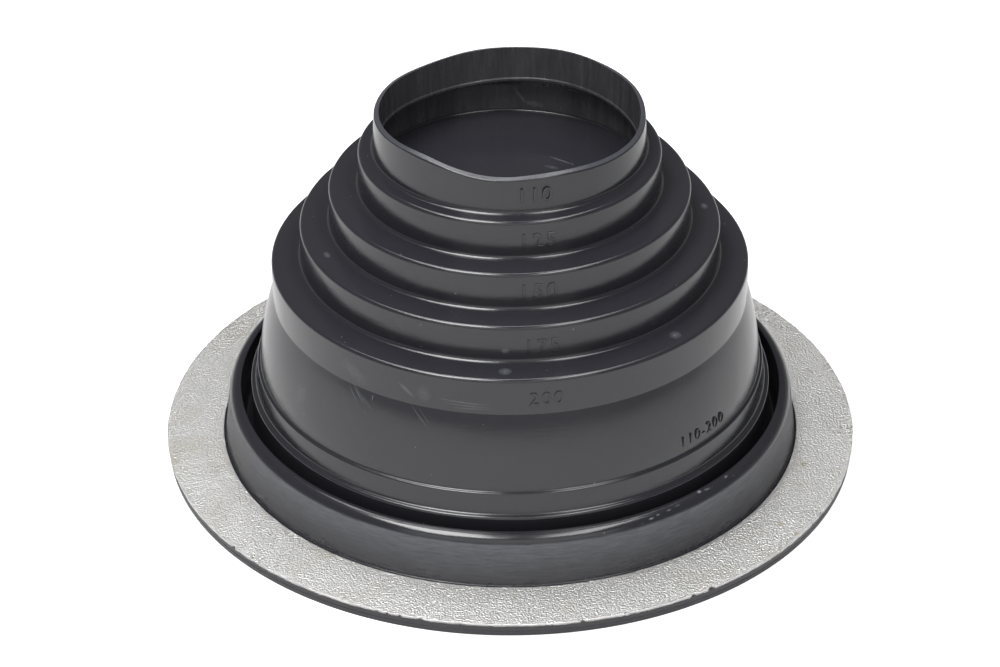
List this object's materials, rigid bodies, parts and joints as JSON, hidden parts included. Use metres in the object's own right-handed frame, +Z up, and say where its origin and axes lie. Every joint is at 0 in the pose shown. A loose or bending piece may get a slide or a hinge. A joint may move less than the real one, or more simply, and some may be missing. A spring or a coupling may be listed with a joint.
{
  "type": "pipe flashing boot",
  "caption": "Stepped rubber cone on a round flange with an aluminium ring, which seals a pipe where it passes through a roof.",
  "frame": {"origin": "centre of the flange's underside", "axes": "+Z up through the cone and out of the pipe collar; -Y is the side that carries the size numbers"},
  "size_m": [0.296, 0.296, 0.1582],
  "materials": {
    "rubber": "moulded, satin gloss",
    "aluminium": "mill finish sheet, dull and scratched"
  },
  "bodies": {
    "root": {"rubber_boot": "rubber", "aluminium_ring": "aluminium"}
  },
  "joints": []
}
